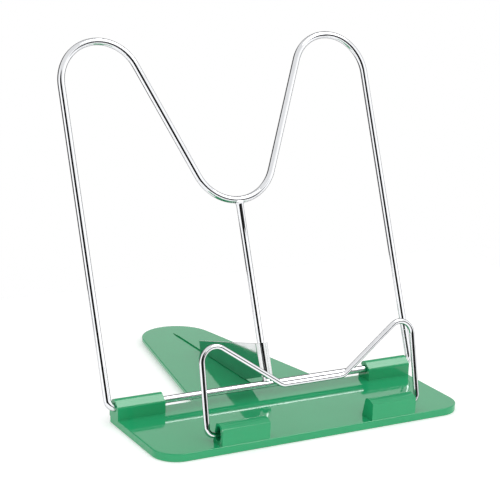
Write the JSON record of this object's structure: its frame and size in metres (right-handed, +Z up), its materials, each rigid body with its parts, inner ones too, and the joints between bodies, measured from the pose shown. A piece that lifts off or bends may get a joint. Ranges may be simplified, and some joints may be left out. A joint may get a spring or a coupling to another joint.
{
  "type": "book display stand",
  "caption": "Fold-down reading stand: glossy plastic base with a rear tongue, leaning wire back frame, swinging sheet prop and a folding page-holder wire.",
  "frame": {"origin": "on the table, midway between the hinge barrels, directly under the axis of the back frame's hinge wire", "axes": "+X to the reader's right, +Y to the rear along the tongue, +Z up"},
  "size_m": [0.1956, 0.1924, 0.1942],
  "materials": {
    "green_plastic": "glossy moulded green plastic",
    "chromed_wire": "bright chromed steel wire",
    "plated_sheet": "bright plated steel sheet"
  },
  "bodies": {
    "base": {"base_moulding": "green_plastic"},
    "frame": {"back_frame": "chromed_wire", "centre_rod": "chromed_wire"},
    "prop": {"prop_plate": "plated_sheet"},
    "holder": {"page_holder": "chromed_wire"}
  },
  "joints": [
    {"name": "frame_fold", "type": "hinge", "parent": "base", "child": "frame", "pos_m": [0, 0, 0.0101], "axis": [1, 0, 0], "range_deg": [0, 86]},
    {"name": "prop_swing", "type": "hinge", "parent": "frame", "child": "prop", "pos_m": [0, 0, 0.0101], "axis": [0, 0.3762, 0.9265], "range_deg": [-90, 90]},
    {"name": "page_holder_fold", "type": "hinge", "parent": "base", "child": "holder", "pos_m": [0, -0.0525, 0.0086], "axis": [1, 0, 0], "range_deg": [-75, 100]}
  ]
}
